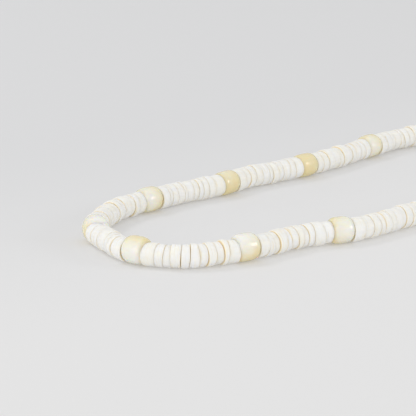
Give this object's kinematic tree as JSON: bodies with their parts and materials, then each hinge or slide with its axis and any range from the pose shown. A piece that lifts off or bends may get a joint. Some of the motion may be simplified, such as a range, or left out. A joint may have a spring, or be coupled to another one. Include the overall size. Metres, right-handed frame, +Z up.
{
  "type": "mother of pearl shell necklace",
  "caption": "Fastened choker of white ground shell discs with a rounded mother-of-pearl bead after each run of discs, lying as a long loop.",
  "frame": {"origin": "under the middle of the whole loop, on the surface that it lies on", "axes": "+X along the long way of the loop towards the clasp, +Z up from the surface"},
  "size_m": [0.1808, 0.0568, 0.0058],
  "materials": {
    "white_shell": "satin",
    "mother_of_pearl": "gloss",
    "thread": "matte",
    "clasp_metal": "polished"
  },
  "bodies": {
    "root": {"disc_run_01": "white_shell", "disc_run_02": "white_shell", "disc_run_03": "white_shell", "disc_run_04": "white_shell", "disc_run_05": "white_shell", "disc_run_06": "white_shell", "disc_run_07": "white_shell", "disc_run_08": "white_shell", "disc_run_09": "white_shell", "disc_run_10": "white_shell", "disc_run_11": "white_shell", "disc_run_12": "white_shell", "disc_run_13": "white_shell", "disc_run_14": "white_shell", "disc_run_15": "white_shell", "disc_run_16": "white_shell", "disc_run_17": "white_shell", "pearl_bead_01": "mother_of_pearl", "pearl_bead_02": "mother_of_pearl", "pearl_bead_03": "mother_of_pearl", "pearl_bead_04": "mother_of_pearl", "pearl_bead_05": "mother_of_pearl", "pearl_bead_06": "mother_of_pearl", "pearl_bead_07": "mother_of_pearl", "pearl_bead_08": "mother_of_pearl", "pearl_bead_09": "mother_of_pearl", "pearl_bead_10": "mother_of_pearl", "pearl_bead_11": "mother_of_pearl", "pearl_bead_12": "mother_of_pearl", "pearl_bead_13": "mother_of_pearl", "pearl_bead_14": "mother_of_pearl", "pearl_bead_15": "mother_of_pearl", "pearl_bead_16": "mother_of_pearl", "thread": "thread", "clasp": "clasp_metal"}
  },
  "joints": []
}
